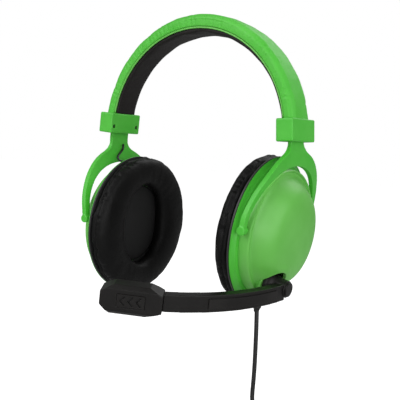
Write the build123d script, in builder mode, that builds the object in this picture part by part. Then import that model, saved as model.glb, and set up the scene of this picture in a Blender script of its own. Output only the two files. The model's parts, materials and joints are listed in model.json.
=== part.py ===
"""Over-ear gaming headset with a swinging microphone boom and a stowed cord.

Frame: millimetres, +Z up, +X the wearer's left, -Y the wearer's front.  The origin is the
underside of the headband pad at the crown, where the headset rests on a head or a stand.
The left side is built upright, then settle() tilts, draws out, rakes and mirrors each piece.
"""
from build123d import *
import math
import os

os.makedirs("parts", exist_ok=True)

# Headband: half ellipses about a line 72 mm under the crown
ARCH_Z = -72.2
PAD_IN = (72.7, 72.2)
COVER_IN = (75.2, 76.1)
COVER_OUT = (83.3, 85.2)
BAND_WIDTH, PAD_WIDTH = 24.6, 21.0
COVER_ROUND, PAD_ROUND = 3.0, 1.1
SPRING_MID, SPRING_T, SPRING_WIDTH = (76.2, 77.1), 0.8, 13.0
WIRE_MID, WIRE_D, WIRE_Y = (79.3, 80.4), 1.4, 4.0
GAP = 0.1

# Collars at the band's ends
COLLAR_X, COLLAR_Z = 78.0, -66.75
COLLAR_T, COLLAR_W, COLLAR_H = 12.6, 34.2, 15.5
COLLAR_ROUND = 0.9
SPLAY = 4.0
POCKET_DEPTH = 2.5
POCKET_IN, POCKET_OUT = 3.9, 5.4
SCREW_Y, SCREW_DROP = 13.5, 2.5
SCREW_R, SCREW_FIT, SCREW_SUNK, SCREW_L = 1.4, 0.1, 1.0, 3.0

# Yoke: a flat neck that forks round the cup
NECK_W, NECK_T, NECK_TOP = 19.0, 3.0, 16.0
SLOT_FIT, SLOT_TOP = 0.15, 20.5
ARM_T = 3.6
NECK_FOOT = 13.8
ARM_CURVE = [(77.6, -93.0), (73.6, -106.0), (70.0, -118.0), (67.6, -130.5)]
ARM_START, ARM_END = (0.07, -0.998), (-0.1, -0.995)
FLARE = [(9.5, -76.0), (11.5, -79.5), (20.0, -84.3), (31.0, -91.8), (43.2, -105.0), (49.4, -117.0),
         (51.2, -127.0)]
FORK_IN, FORK_RISE, FORK_OUT = 46.6, 39.4, 51.2
PIVOT_X, PIVOT_Z = 67.6, -130.5
ARM_FOOT = 1.5
KNUCKLE_R, KNUCKLE_W = 3.0, 5.2
PIN_R, PIN_FIT, PIN_TIP, PIN_END_GAP = 1.6, 0.05, 41.6, 0.4
LINK_D = 1.7
LINK_ROUTE = [(75.7, 2.0, -75.6), (76.0, 2.6, -80.2), (75.6, -2.0, -84.0), (74.7, -7.0, -87.2),
              (72.8, -4.5, -90.6), (71.0, 0.5, -90.0), (69.6, 3.0, -90.8), (69.2, 3.2, -92.4)]
LINK_BEND = 1.8

# Cups
CUP_X, CUP_Z = 61.3, -138.5
RING_R, RING_T = 53.0, 2.8
WALL_R, WALL_T = 45.3, 2.0
DRIVER_HOLE_R = 21.0
BOSS_R, BOSS_IN, BOSS_OUT = 3.2, 39.6, 43.8
POST_R, POST_RADIUS, POST_L = 3.2, 40.4, 5.4
FIX_R, FIX_HEAD_R, FIX_HEAD_T, FIX_FIT, FIX_L = 1.2, 2.2, 1.1, 0.08, 4.8
PLATE_T, PLATE_R = 1.2, 53.0
PAD_R, PAD_T, PAD_FRONT_ROUND, PAD_HOLE_ROUND = 55.0, 14.2, 6.5, 4.0
PAD_HOLE = (22.5, 30.0)
SCRIM_T = 0.5

# Microphone boom
HUB_Y, HUB_Z, HUB_SEAT_X = -17.0, -170.4, 75.0
HUB_SKIRT_R, HUB_END_X, HUB_CAP_R, HUB_CAP_T = 9.6, 90.2, 4.9, 1.3
SPIGOT_R, SPIGOT_FIT, SPIGOT_L = 4.0, 0.06, 4.4
SEAT_WALL, SEAT_DEPTH, SEAT_FIT, SEAT_CUT = 1.4, 6.0, 0.4, 20.0
BOOM_LINE = [(86.4, -19.0), (80.2, -52.0), (64.4, -83.0), (44.6, -104.2)]
BOOM_H, BOOM_W, BOOM_SLOPE, BOOM_DROP = 11.2, 6.4, -0.5, 1.5
INLAY_LINE = [(88.6, -30.0), (83.2, -53.1), (69.3, -81.5)]
INLAY_H, INLAY_W = 6.4, 1.4
HEAD_CENTRE, HEAD_YAW = (33.0, -111.0), 212.0
HEAD_SIDE = [(-19.0, -5.4), (-11.0, -9.3), (11.0, -9.3), (19.0, -5.0), (19.0, 3.5), (13.0, 9.3),
             (-9.0, 9.3), (-19.0, 5.6)]
HEAD_DEPTH, HEAD_CHAMFER = 15.0, 2.4
VENT_L, VENT_H, VENT_T = 17.0, 8.0, 0.8
CHEVRONS, CHEVRON_PITCH, CHEVRON_W = 3, 5.0, 1.0
CAPSULE_R, CAPSULE_L = 4.5, 4.0

# Cord
CORD_D = 3.1
CORD_ROUTE = [(62.0, -10.0, -190.5), (63.2, -10.6, -212.0), (63.0, -9.6, -238.0),
              (61.6, -8.9, -262.0), (71.8, -9.0, -282.4)]
COIL_CENTRE = (61.8, -9.0, -300.0)
COIL_R, COIL_SECTION, COIL_TURNS = 17.0, 12.8, 15.1
TAIL_TOP, TAIL_END = -315.0, -331.0
PLUG_R, PLUG_L = 3.6, 22.0
JACK_R, JACK_L = 1.75, 14.0
TIE_T, TIE_W = 0.8, 8.0
RELIEF_R, RELIEF_FLANGE_R, RELIEF_FLANGE_T, RELIEF_CUT = 2.2, 2.9, 2.6, 8.0
RELIEF_X, RELIEF_Y, RELIEF_TOP_Z, RELIEF_END_Z = 68.4, -15.8, -178.0, -189.8

# How each side is set at rest
RAKE = 3.0
TILT = {"left": 6.5, "right": -3.0}
DRAWN_OUT = {"left": 0.0, "right": 6.5}
SIDES = ("left", "right")

SLIDE = Vector(math.sin(math.radians(SPLAY)), 0, -math.cos(math.radians(SPLAY)))
COLLAR_CENTRE = Vector(COLLAR_X, 0, COLLAR_Z)
COLLAR = Plane(origin=COLLAR_CENTRE, x_dir=(0, 1, 0), z_dir=SLIDE * -1)
CUP = Plane(origin=(CUP_X, 0, CUP_Z), x_dir=(0, 1, 0), z_dir=(1, 0, 0))
CUP_PROFILE = Plane(origin=(CUP_X, 0, CUP_Z), x_dir=(0, 0, 1), z_dir=(0, 1, 0))
CUP_AXIS = Axis((CUP_X, 0, CUP_Z), (1, 0, 0))
HUB_PROFILE = Plane(origin=(0, HUB_Y, HUB_Z), x_dir=(0, 0, 1), z_dir=(0, 1, 0))
HUB_AXIS = Axis((0, HUB_Y, HUB_Z), (1, 0, 0))
HUB = Plane(origin=(0, HUB_Y, HUB_Z), x_dir=(0, 1, 0), z_dir=(1, 0, 0))
PIVOT_AXIS = Axis((PIVOT_X, 0, PIVOT_Z), (0, 1, 0))
RAKE_AXIS = Axis(COLLAR_CENTRE, (1, 0, 0))


def settle(shape, side, in_cup):
    """Move a piece of the upright left side to where it rests on the given side."""
    if in_cup:
        shape = shape.rotate(PIVOT_AXIS, TILT[side])
    shape = shape.moved(Location(SLIDE * DRAWN_OUT[side]))
    shape = shape.rotate(RAKE_AXIS, RAKE)
    return shape if side == "left" else shape.mirror(Plane.YZ)


def keep(piece, name):
    """Label a finished piece and write it."""
    piece.part.label = name
    export_step(piece.part, f"parts/{name}.step")


def keep_left(piece, name, in_cup=True):
    """Write a piece that only the left side has."""
    with BuildPart() as settled:
        add(settle(piece.part, "left", in_cup))
    keep(settled, name)
    return settled


def keep_sides(piece, name, in_cup):
    """Write a piece that both sides have."""
    for side in SIDES:
        with BuildPart() as settled:
            add(settle(piece.part, side, in_cup))
        keep(settled, f"{side}_{name}")


def end_plane(side_sign, height):
    """Give the plane across the band at a height above a collar's centre."""
    up = Vector(-side_sign * SLIDE.X, 0, -SLIDE.Z)
    return Plane(origin=Vector(side_sign * COLLAR_X, 0, COLLAR_Z) + up * height, z_dir=up)


def pivot_plane(side_sign, distance):
    """Give the plane across the cup's pivot axis, facing out of the front or the back."""
    origin = (PIVOT_X, side_sign * distance, PIVOT_Z)
    return Plane(origin=origin, x_dir=(1, 0, 0), z_dir=(0, side_sign, 0))


def arch(inner, outer, width, centre_y=0.0):
    """Draw the ring between two ellipses, as wide as stated."""
    with BuildSketch(Plane.XZ.offset(-centre_y - width / 2)) as ring:
        with Locations((0, ARCH_Z)):
            Ellipse(*outer)
            Ellipse(*inner, mode=Mode.SUBTRACT)
    return ring.sketch


def grown(semi_axes, amount):
    """Grow an ellipse's two half widths by the same amount."""
    return tuple(size + amount for size in semi_axes)


# Headband -------------------------------------------------------------------------------
with BuildPart() as band_cover:
    extrude(arch(COVER_IN, COVER_OUT, BAND_WIDTH), amount=BAND_WIDTH)
    for sign in (1, -1):
        split(bisect_by=end_plane(sign, COLLAR_H / 2 - POCKET_DEPTH + GAP), keep=Keep.TOP)
    crown_edges = band_cover.edges().filter_by(lambda e: e.length > BAND_WIDTH * 2)
    fillet(crown_edges.group_by(SortBy.LENGTH)[-1], COVER_ROUND)
    spring_half = SPRING_T / 2 + GAP
    channel = arch(grown(SPRING_MID, -spring_half), grown(SPRING_MID, spring_half), SPRING_WIDTH)
    extrude(channel, amount=SPRING_WIDTH, mode=Mode.SUBTRACT)
    wire_half = WIRE_D / 2 + GAP
    channel = arch(grown(WIRE_MID, -wire_half), grown(WIRE_MID, wire_half), 2 * wire_half, WIRE_Y)
    extrude(channel, amount=2 * wire_half, mode=Mode.SUBTRACT)
    for sign in (1, -1):
        with BuildSketch(end_plane(sign, 0)):
            Rectangle(NECK_T + 4 * SLOT_FIT, NECK_W + 2.6)
        extrude(amount=SLOT_TOP, mode=Mode.SUBTRACT)
keep(band_cover, "band_cover")

with BuildPart() as band_pad:
    extrude(arch(PAD_IN, grown(COVER_IN, -GAP), PAD_WIDTH), amount=PAD_WIDTH)
    for sign in (1, -1):
        split(bisect_by=end_plane(sign, COLLAR_H / 2 + GAP), keep=Keep.TOP)
    crown_edges = band_pad.edges().filter_by(lambda e: e.length > BAND_WIDTH * 2)
    fillet(crown_edges.group_by(SortBy.LENGTH)[0], PAD_ROUND)
keep(band_pad, "band_pad")

with BuildPart() as band_spring:
    strip = arch(grown(SPRING_MID, -SPRING_T / 2), grown(SPRING_MID, SPRING_T / 2), SPRING_WIDTH - 2 * GAP)
    extrude(strip, amount=SPRING_WIDTH - 2 * GAP)
    for sign in (1, -1):
        split(bisect_by=end_plane(sign, COLLAR_H / 2 - POCKET_DEPTH + GAP), keep=Keep.TOP)
keep(band_spring, "band_spring")

with BuildPart() as band_wire:
    extrude(arch(grown(WIRE_MID, -WIRE_D / 2), grown(WIRE_MID, WIRE_D / 2), WIRE_D, WIRE_Y), amount=WIRE_D)
    for sign in (1, -1):
        split(bisect_by=end_plane(sign, SLOT_TOP + 1), keep=Keep.TOP)
keep(band_wire, "band_wire")

# Collars: a pocket for the band on top, a raked slot for the neck, two sunk screws inside
INWARD = Vector(-math.cos(math.radians(SPLAY)), 0, -math.sin(math.radians(SPLAY)))
SCREW_FACE = Plane(origin=COLLAR_CENTRE + INWARD * (COLLAR_T / 2) + SLIDE * SCREW_DROP,
                   x_dir=(0, 1, 0), z_dir=INWARD)
with BuildPart() as collar:
    with BuildSketch(COLLAR.offset(-COLLAR_H / 2)):
        Rectangle(COLLAR_W, COLLAR_T)
    extrude(amount=COLLAR_H)
    fillet(collar.edges(), COLLAR_ROUND)
    with BuildSketch(COLLAR.offset(COLLAR_H / 2)):
        with Locations((0, (POCKET_IN - POCKET_OUT) / 2)):
            Rectangle(BAND_WIDTH + 2 * GAP, POCKET_IN + POCKET_OUT)
    extrude(amount=-POCKET_DEPTH, mode=Mode.SUBTRACT)
    with BuildSketch(SCREW_FACE):
        with Locations((SCREW_Y, 0), (-SCREW_Y, 0)):
            Circle(SCREW_R + SCREW_FIT)
    extrude(amount=-SCREW_SUNK - SCREW_L, mode=Mode.SUBTRACT)
with BuildPart() as neck_slot:
    with BuildSketch(COLLAR.offset(-COLLAR_H)):
        Rectangle(NECK_W + 2 * SLOT_FIT, NECK_T + 2 * SLOT_FIT)
    extrude(amount=2 * COLLAR_H)
with BuildPart() as collar_screws:
    with BuildSketch(SCREW_FACE.offset(-SCREW_SUNK)):
        with Locations((SCREW_Y, 0), (-SCREW_Y, 0)):
            Circle(SCREW_R)
    extrude(amount=-SCREW_L)
with BuildPart() as all_screws:
    for side in SIDES:
        add(collar_screws.part if side == "left" else collar_screws.part.mirror(Plane.YZ))
keep(all_screws, "collar_screws")
for side in SIDES:
    with BuildPart() as placed_collar:
        add(collar.part if side == "left" else collar.part.mirror(Plane.YZ))
        add(settle(neck_slot.part, side, False), mode=Mode.SUBTRACT)
    keep(placed_collar, f"{side}_collar")

# Yoke -----------------------------------------------------------------------------------
NECK_ENDS = [COLLAR_CENTRE + SLIDE * along for along in (-NECK_TOP, NECK_FOOT - 4, NECK_FOOT)]
TOP_X, TOP_Z = NECK_ENDS[0].X, NECK_ENDS[0].Z
with BuildPart() as yoke:
    with BuildSketch(Plane.XZ.offset(-FORK_OUT - 2)):
        with BuildLine():
            edges = []
            for half in (NECK_T / 2, -NECK_T / 2):
                middle = [(NECK_ENDS[2].X, NECK_ENDS[2].Z)] + ARM_CURVE
                lower = [(x + half * ARM_T / NECK_T, z) for x, z in middle]
                foot = (lower[-1][0], PIVOT_Z - ARM_FOOT)
                Line((TOP_X + half, TOP_Z), (NECK_ENDS[1].X + half, NECK_ENDS[1].Z))
                Line((NECK_ENDS[1].X + half, NECK_ENDS[1].Z), lower[0])
                Spline(*lower, tangents=(ARM_START, ARM_END))
                Line(lower[-1], foot)
                edges.append((TOP_X + half, TOP_Z))
                edges.append(foot)
            Line(edges[0], edges[2])
            Line(edges[1], edges[3])
        make_face()
    extrude(amount=2 * FORK_OUT + 4)
    with BuildSketch(Plane.YZ.offset(PIVOT_X - 10)):
        with BuildLine():
            for sign in (1, -1):
                flare = [(sign * y, z) for y, z in FLARE]
                Line((sign * NECK_W / 2, TOP_Z + 1), flare[0])
                Spline(*flare)
                Line(flare[-1], (sign * FORK_OUT, PIVOT_Z))
                Line((sign * FORK_OUT, PIVOT_Z), (sign * FORK_OUT, PIVOT_Z - ARM_FOOT))
                Line((sign * FORK_OUT, PIVOT_Z - ARM_FOOT), (sign * FORK_IN, PIVOT_Z - ARM_FOOT))
                Line((sign * FORK_IN, PIVOT_Z - ARM_FOOT), (sign * FORK_IN, PIVOT_Z))
            EllipticalCenterArc((0, PIVOT_Z), FORK_IN, FORK_RISE, start_angle=0, arc_size=180)
            Line((-NECK_W / 2, TOP_Z + 1), (NECK_W / 2, TOP_Z + 1))
        make_face()
    extrude(amount=40, mode=Mode.INTERSECT)
    for sign in (1, -1):
        with BuildSketch(pivot_plane(sign, FORK_IN)):
            Circle(KNUCKLE_R)
        extrude(amount=KNUCKLE_W)
        with BuildSketch(pivot_plane(sign, PIN_TIP)):
            Circle(PIN_R)
        extrude(amount=FORK_IN - PIN_TIP)
keep_sides(yoke, "yoke", False)


def wire_along(points, diameter, bends):
    """Lay a round wire along straight runs joined by tangent arcs."""
    with BuildPart() as wire:
        with BuildLine() as path:
            FilletPolyline(*points, radius=bends)
        with BuildSketch(Plane(origin=points[0], z_dir=path.line % 0)):
            Circle(diameter / 2)
        sweep(path=path.line)
    return wire


link_wire = wire_along(LINK_ROUTE, LINK_D, LINK_BEND)
keep_sides(link_wire, "link_wire", False)

# Cup ------------------------------------------------------------------------------------
POST_SPOTS = [(POST_RADIUS * math.cos(math.radians(a)), POST_RADIUS * math.sin(math.radians(a)))
              for a in (40, 140, 190, 350)]
with BuildPart() as plain_shell:
    with BuildSketch(CUP_PROFILE):
        with BuildLine():
            Polyline((0, 25), (0, 27))
            Spline((0, 27), (14, 26.2), (25, 23.6), (33.5, 18.6), (39.0, 12.4), (41.6, 9.4),
                   tangents=((1, 0), (0.8, -0.5)))
            Polyline((41.6, 9.4), (43.4, 9.2), (44.2, 10.4), (45.0, 10.4), (WALL_R, 9.4), (WALL_R, RING_T))
            Polyline((WALL_R, RING_T), (WALL_R - WALL_T, RING_T), (WALL_R - WALL_T, 7.4), (40.9, 7.4))
            Spline((40.9, 7.4), (37.4, 11.0), (32.2, 17.0), (24.2, 21.7), (13.6, 24.2), (0, 25),
                   tangents=((-0.8, 0.5), (-1, 0)))
        make_face()
    revolve(axis=CUP_AXIS)
    for sign in (1, -1):
        with BuildSketch(pivot_plane(sign, BOSS_IN)):
            Circle(BOSS_R)
        extrude(amount=BOSS_OUT - BOSS_IN)
    with BuildSketch(CUP.offset(RING_T)):
        with Locations(POST_SPOTS):
            Circle(POST_R)
    extrude(amount=POST_L)
    with BuildSketch(CUP.offset(RING_T)):
        with Locations(POST_SPOTS):
            Circle(FIX_R + FIX_FIT)
    extrude(amount=FIX_L, mode=Mode.SUBTRACT)
    for sign in (1, -1):
        with BuildSketch(pivot_plane(sign, PIN_TIP - PIN_END_GAP)):
            Circle(PIN_R + PIN_FIT)
        extrude(amount=FORK_OUT - PIN_TIP, mode=Mode.SUBTRACT)
with BuildPart() as right_shell:
    add(settle(plain_shell.part, "right", True))
keep(right_shell, "right_shell")

# The left shell also seats the boom's hub and lets the cord out
with BuildPart() as left_shell:
    add(plain_shell.part)
    with BuildSketch(HUB.offset(HUB_SEAT_X - SEAT_DEPTH)):
        Circle(HUB_SKIRT_R + SEAT_WALL)
    extrude(amount=SEAT_DEPTH)
    with BuildSketch(HUB.offset(HUB_SEAT_X)):
        Circle(HUB_SKIRT_R + SEAT_FIT)
    extrude(amount=SEAT_CUT, mode=Mode.SUBTRACT)
    with BuildSketch(HUB.offset(HUB_SEAT_X - 2 * SEAT_DEPTH)):
        Circle(SPIGOT_R + SPIGOT_FIT)
    extrude(amount=3 * SEAT_DEPTH, mode=Mode.SUBTRACT)
    with BuildSketch(Plane(origin=(RELIEF_X, RELIEF_Y, RELIEF_TOP_Z + RELIEF_CUT))):
        Circle(RELIEF_R + GAP)
    extrude(amount=-3 * RELIEF_CUT, mode=Mode.SUBTRACT)
keep_left(left_shell, "left_shell")

with BuildPart() as baffle:
    with BuildSketch(CUP_PROFILE):
        with BuildLine():
            Polyline((DRIVER_HOLE_R, 2.0), (DRIVER_HOLE_R, 0), (RING_R - 0.7, 0), (RING_R, 0.7))
            RadiusArc((RING_R, 0.7), (RING_R - 4.2, RING_T), 5.0)
            Polyline((RING_R - 4.2, RING_T), (WALL_R - 4.5, RING_T), (WALL_R - 4.5, 2.0), (DRIVER_HOLE_R, 2.0))
        make_face()
    revolve(axis=CUP_AXIS)
    with BuildSketch(CUP):
        with Locations(POST_SPOTS):
            Circle(FIX_R + 2 * FIX_FIT)
    extrude(amount=RING_T, mode=Mode.SUBTRACT)
    with BuildSketch(CUP):
        with Locations(POST_SPOTS):
            Circle(FIX_HEAD_R + 0.3)
    extrude(amount=FIX_HEAD_T + 0.1, mode=Mode.SUBTRACT)
keep_sides(baffle, "baffle", True)

with BuildPart() as baffle_screws:
    with BuildSketch(CUP.offset(GAP)):
        with Locations(POST_SPOTS):
            Circle(FIX_HEAD_R)
    extrude(amount=FIX_HEAD_T - GAP)
    with BuildSketch(CUP.offset(GAP)):
        with Locations(POST_SPOTS):
            Circle(FIX_R)
    extrude(amount=RING_T + FIX_L - 2 * GAP)
keep_sides(baffle_screws, "baffle_screws", True)

# Loudspeaker in the baffle's hole
with BuildPart() as driver_frame:
    with BuildSketch(CUP_PROFILE):
        with BuildLine():
            Polyline((16.0, 0.2), (20.8, 0.2), (20.8, 2.0), (23.0, 2.0), (23.0, 3.0), (17.5, 3.0),
                     (12.5, 6.0), (9.5, 6.0), (9.5, 5.0), (12.0, 5.0), (16.0, 2.4), (16.0, 0.2))
        make_face()
    revolve(axis=CUP_AXIS)
keep_sides(driver_frame, "driver_frame", True)

with BuildPart() as driver_magnet:
    with BuildSketch(CUP.offset(4.6)):
        Circle(9.4)
    extrude(amount=5.0)
    fillet(driver_magnet.edges().group_by(Axis.X)[-1], 0.6)
keep_sides(driver_magnet, "driver_magnet", True)

with BuildPart() as driver_cone:
    with BuildSketch(CUP_PROFILE):
        with BuildLine():
            Polyline((0, 1.2), (0, 0.6))
            Spline((0, 0.6), (5.5, 1.2), (8.5, 2.4), tangents=((1, 0), (0.7, 0.7)))
            Spline((8.5, 2.4), (12.5, 0.7), (15.9, 1.6), tangents=((0.6, -0.8), (0.8, 0.6)))
            Line((15.9, 1.6), (15.9, 2.2))
            Spline((15.9, 2.2), (12.5, 1.3), (8.5, 3.0), tangents=((-0.8, -0.6), (-0.6, 0.8)))
            Spline((8.5, 3.0), (5.5, 1.8), (0, 1.2), tangents=((-0.7, -0.7), (-1, 0)))
        make_face()
    revolve(axis=CUP_AXIS)
keep_sides(driver_cone, "driver_cone", True)

# Ear cushion, the plate that it is sewn to, and the cloth over the loudspeaker
with BuildPart() as pad_plate:
    with BuildSketch(CUP.offset(-PLATE_T)):
        Circle(PLATE_R)
        Circle(PAD_HOLE[1] + 1, mode=Mode.SUBTRACT)
    extrude(amount=PLATE_T)
keep_sides(pad_plate, "pad_plate", True)

with BuildPart() as scrim:
    with BuildSketch(CUP.offset(-PLATE_T)):
        Circle(PAD_HOLE[1] + 0.8)
    extrude(amount=SCRIM_T)
keep_sides(scrim, "scrim", True)

with BuildPart() as ear_pad:
    with BuildSketch(CUP.offset(-PLATE_T)):
        Circle(PAD_R)
        Ellipse(*PAD_HOLE, mode=Mode.SUBTRACT)
    extrude(amount=-PAD_T)
    front_edges = ear_pad.edges().group_by(Axis.X)[0].sort_by(SortBy.LENGTH)
    fillet(front_edges[-1], PAD_FRONT_ROUND)
    fillet(ear_pad.edges().group_by(Axis.X)[0].sort_by(SortBy.LENGTH)[0], PAD_HOLE_ROUND)
keep_sides(ear_pad, "ear_pad", True)

# Microphone boom ------------------------------------------------------------------------
BOOM = Plane(origin=(0, HUB_Y, HUB_Z - BOOM_DROP), x_dir=(1, 0, 0), z_dir=(0, math.tan(math.radians(BOOM_SLOPE)), 1))
with BuildPart() as mic_pivot:
    with BuildSketch(HUB_PROFILE):
        with BuildLine():
            Polyline((0, HUB_END_X), (0, HUB_SEAT_X - SPIGOT_L), (SPIGOT_R, HUB_SEAT_X - SPIGOT_L),
                     (SPIGOT_R, HUB_SEAT_X + 0.3), (HUB_SKIRT_R, HUB_SEAT_X + 0.3),
                     (HUB_SKIRT_R, HUB_SEAT_X + 3.0))
            Spline((HUB_SKIRT_R, HUB_SEAT_X + 3.0), (7.4, 82.0), (5.8, HUB_END_X),
                   tangents=((-0.2, 1), (-0.1, 1)))
            Line((5.8, HUB_END_X), (0, HUB_END_X))
        make_face()
    revolve(axis=HUB_AXIS)
keep_left(mic_pivot, "mic_pivot")

with BuildPart() as mic_hub_cap:
    with BuildSketch(HUB.offset(HUB_END_X)):
        Circle(HUB_CAP_R)
    extrude(amount=HUB_CAP_T)
    fillet(mic_hub_cap.edges().group_by(Axis.X)[-1], 0.5)
keep_left(mic_hub_cap, "mic_hub_cap")

HEAD_DIR = (math.cos(math.radians(HEAD_YAW)), math.sin(math.radians(HEAD_YAW)), 0)
HEAD_RISE = -(HEAD_CENTRE[1] - HUB_Y) * math.tan(math.radians(BOOM_SLOPE))
HEAD_OUT = (HEAD_DIR[1] * -1, HEAD_DIR[0], 0)
HEAD = Plane(origin=(*HEAD_CENTRE, HUB_Z - BOOM_DROP + HEAD_RISE), x_dir=HEAD_DIR, z_dir=HEAD_OUT)
with BuildPart() as mic_head:
    with BuildSketch(HEAD.offset(-HEAD_DEPTH / 2)):
        with BuildLine():
            Polyline(*HEAD_SIDE, close=True)
        make_face()
    extrude(amount=HEAD_DEPTH)
    chamfer(mic_head.edges().filter_by(lambda e: e.length > 15).filter_by(
        lambda e: abs(e.center().Z - HEAD.origin.Z) > 6), HEAD_CHAMFER)
    with BuildSketch(HEAD.offset(HEAD_DEPTH / 2)):
        Rectangle(VENT_L + 2 * GAP, VENT_H + 2 * GAP)
    extrude(amount=-VENT_T, mode=Mode.SUBTRACT)
    with BuildSketch(HEAD.offset(HEAD_DEPTH / 2 - VENT_T)):
        Circle(CAPSULE_R + GAP - 1)
    extrude(amount=-CAPSULE_L - GAP, mode=Mode.SUBTRACT)
keep_left(mic_head, "mic_head")


def boom_bar(line, width, height):
    """Make a bar of constant width that follows a line in the boom's own plane."""
    with BuildPart() as bar:
        with BuildSketch(BOOM.offset(-height / 2)):
            with BuildLine():
                Spline(*[(x, y - HUB_Y) for x, y in line])
            trace(line_width=width)
        extrude(amount=height)
    return bar


with BuildPart() as mic_arm:
    add(boom_bar(BOOM_LINE, BOOM_W, BOOM_H).part)
    add(mic_pivot.part, mode=Mode.SUBTRACT)
    add(mic_hub_cap.part, mode=Mode.SUBTRACT)
    add(mic_head.part, mode=Mode.SUBTRACT)
    keep_largest = mic_arm.solids().sort_by(SortBy.VOLUME)[-1]
with BuildPart() as mic_arm_whole:
    add(keep_largest)
keep_left(mic_arm_whole, "mic_arm")

with BuildPart() as mic_inlay:
    add(boom_bar(INLAY_LINE, INLAY_W, INLAY_H).part)
    add(mic_arm_whole.part, mode=Mode.SUBTRACT)
    inlay_strip = mic_inlay.solids().sort_by(SortBy.VOLUME)[-1]
with BuildPart() as mic_inlay_strip:
    add(inlay_strip)
keep_left(mic_inlay_strip, "mic_inlay")

with BuildPart() as mic_vent:
    with BuildSketch(HEAD.offset(HEAD_DEPTH / 2 - VENT_T)):
        Rectangle(VENT_L, VENT_H)
        for step in range(CHEVRONS):
            tip = (step - (CHEVRONS - 1) / 2) * CHEVRON_PITCH + 1.5
            with BuildLine():
                Polyline((tip - 2.6, 2.8), (tip, 0), (tip - 2.6, -2.8))
            trace(line_width=CHEVRON_W, mode=Mode.SUBTRACT)
    extrude(amount=VENT_T)
keep_left(mic_vent, "mic_vent")

with BuildPart() as mic_capsule:
    with BuildSketch(HEAD.offset(HEAD_DEPTH / 2 - VENT_T)):
        Circle(CAPSULE_R - 1)
    extrude(amount=-CAPSULE_L)
keep_left(mic_capsule, "mic_capsule")

# Cord: strain relief, hanging stretch, stowed coil, tail and plug
with BuildPart() as strain_relief:
    with BuildSketch(Plane(origin=(RELIEF_X, RELIEF_Y, RELIEF_END_Z + RELIEF_FLANGE_T))):
        Circle(RELIEF_R)
    extrude(amount=RELIEF_TOP_Z - RELIEF_END_Z - RELIEF_FLANGE_T)
    with BuildSketch(Plane(origin=(RELIEF_X, RELIEF_Y, RELIEF_END_Z))):
        Circle(RELIEF_FLANGE_R)
    extrude(amount=RELIEF_FLANGE_T)
    fillet(strain_relief.edges().group_by(Axis.Z)[0], 0.5)
settled_relief = keep_left(strain_relief, "strain_relief")


def arc_radii(points):
    """Work out the radius of the arc at each corner from the shorter of its two runs."""
    radii = []
    for before, corner, after in zip(points, points[1:], points[2:]):
        arriving, leaving = Vector(corner) - Vector(before), Vector(after) - Vector(corner)
        half_turn = math.radians(arriving.get_angle(leaving)) / 2
        radii.append(0.45 * min(arriving.length, leaving.length) / math.tan(half_turn))
    return radii


cord_exit = settled_relief.faces().sort_by(Axis.Z)[0].center()
route = [tuple(cord_exit)] + CORD_ROUTE[1:]
cord_radii = arc_radii(route)
cord = wire_along(route, CORD_D, cord_radii)
keep(cord, "cord")

with BuildPart() as cord_coil:
    with BuildSketch(Plane(origin=COIL_CENTRE, x_dir=(1, 0, 0), z_dir=(0, 0, 1))):
        with Locations((COIL_R, 0)):
            RectangleRounded(COIL_SECTION, COIL_SECTION, COIL_SECTION / 4)
    revolve(axis=Axis(COIL_CENTRE, (0, 1, 0)))
keep(cord_coil, "cord_coil")

with BuildPart() as cord_tie:
    tie_plane = Plane(origin=Vector(*COIL_CENTRE) + Vector(-COIL_R, 0, 0), x_dir=(1, 0, 0), z_dir=(0, 0, 1))
    tie_inside = COIL_SECTION + 2 * GAP
    with BuildSketch(tie_plane.offset(-TIE_W / 2)):
        RectangleRounded(tie_inside + 2 * TIE_T, tie_inside + 2 * TIE_T, tie_inside / 4)
    extrude(amount=TIE_W)
    add(cord_coil.part, mode=Mode.SUBTRACT)
    tie_ring = cord_tie.solids().sort_by(SortBy.VOLUME)[-1]
with BuildPart() as cord_tie_ring:
    add(tie_ring)
keep(cord_tie_ring, "cord_tie")

TAIL_X, TAIL_Y = COIL_CENTRE[0] + COIL_R, COIL_CENTRE[1]
with BuildPart() as cord_tail:
    with BuildSketch(Plane(origin=(TAIL_X, TAIL_Y, TAIL_END))):
        Circle(CORD_D / 2)
    extrude(amount=TAIL_TOP - TAIL_END)
keep(cord_tail, "cord_tail")

with BuildPart() as plug_body:
    with BuildSketch(Plane(origin=(TAIL_X, TAIL_Y, TAIL_END))):
        Circle(PLUG_R)
    extrude(amount=-PLUG_L)
    fillet(plug_body.edges().group_by(Axis.Z)[-1], 1.2)
keep(plug_body, "plug_body")

with BuildPart() as plug_pin:
    with BuildSketch(Plane(origin=(TAIL_X, TAIL_Y, TAIL_END - PLUG_L))):
        Circle(JACK_R)
    extrude(amount=-JACK_L)
    chamfer(plug_pin.edges().group_by(Axis.Z)[0], 0.8)
keep(plug_pin, "plug_pin")

# What the joints and the cord need to know, in the settled frame
for side in SIDES:
    with BuildLine() as pivots:
        Line((PIVOT_X, 0, PIVOT_Z), (PIVOT_X, 10, PIVOT_Z))
        Line((COLLAR_X, 0, COLLAR_Z), tuple(COLLAR_CENTRE + SLIDE * 10))
    for label, edge in zip(("cup pivot", "slide"), pivots.edges()):
        placed = settle(edge, side, False)
        print(side, label, placed @ 0, (placed @ 1) - (placed @ 0))
with BuildLine() as swing:
    Line((HUB_SEAT_X, HUB_Y, HUB_Z), (HUB_SEAT_X + 10, HUB_Y, HUB_Z))
hub_line = settle(swing.edge(), "left", True)
print("boom swing", hub_line @ 0, (hub_line @ 1) - (hub_line @ 0))
print("cord exit", cord_exit, "arc radii", [round(r, 1) for r in cord_radii])
cord_length = cord.part.volume / (math.pi * CORD_D ** 2 / 4)
coil_length = COIL_TURNS * 2 * math.pi * COIL_R
print("cord hanging", round(cord_length, 1), "coil", round(coil_length), "tail", TAIL_TOP - TAIL_END)
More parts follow.
